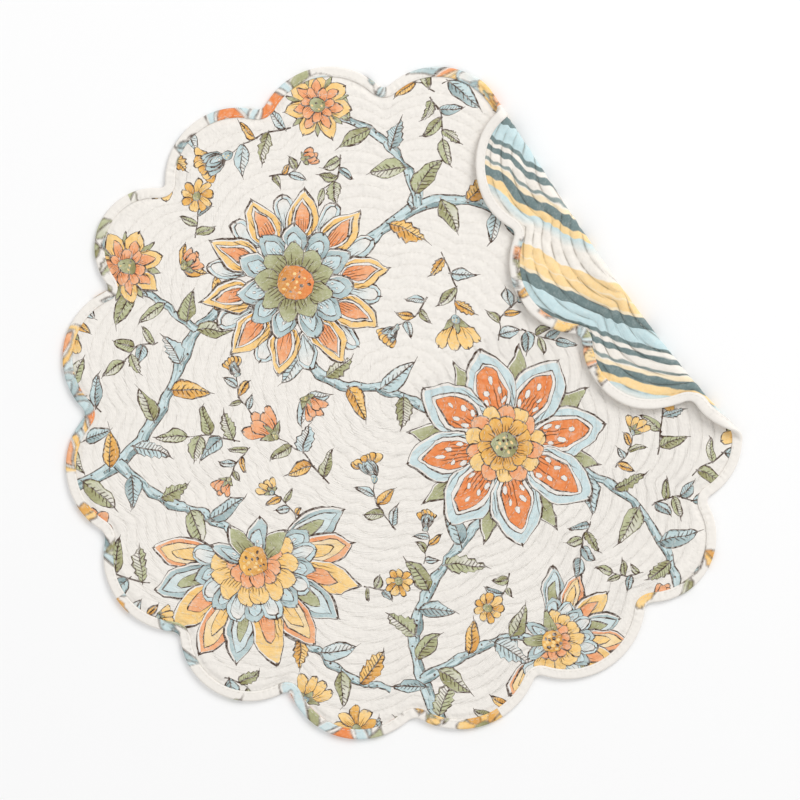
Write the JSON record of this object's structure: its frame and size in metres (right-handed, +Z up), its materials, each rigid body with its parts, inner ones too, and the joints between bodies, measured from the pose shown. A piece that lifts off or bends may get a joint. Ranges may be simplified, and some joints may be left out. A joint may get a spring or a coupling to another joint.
{
  "type": "placemat",
  "caption": "Round quilted fabric placemat with a scalloped, bound edge; one side is folded back over the front and shows the striped reverse.",
  "frame": {"origin": "centre of the mat's circle, on the surface that it rests on", "axes": "+Z up, out of the front; +X and +Y lie along the table, and the folded edge faces 34.5 degrees from +X towards +Y"},
  "size_m": [0.4286, 0.4242, 0.0105],
  "materials": {
    "floral_print": "matte quilted cotton, floral print on cream",
    "striped_cloth": "matte quilted cotton, striped in blue, teal, yellow and cream",
    "bias_strip": "matte cotton bias strip in the print cloth"
  },
  "bodies": {
    "root": {"front_panel": "floral_print", "back_panel": "striped_cloth", "binding": "bias_strip"}
  },
  "joints": []
}
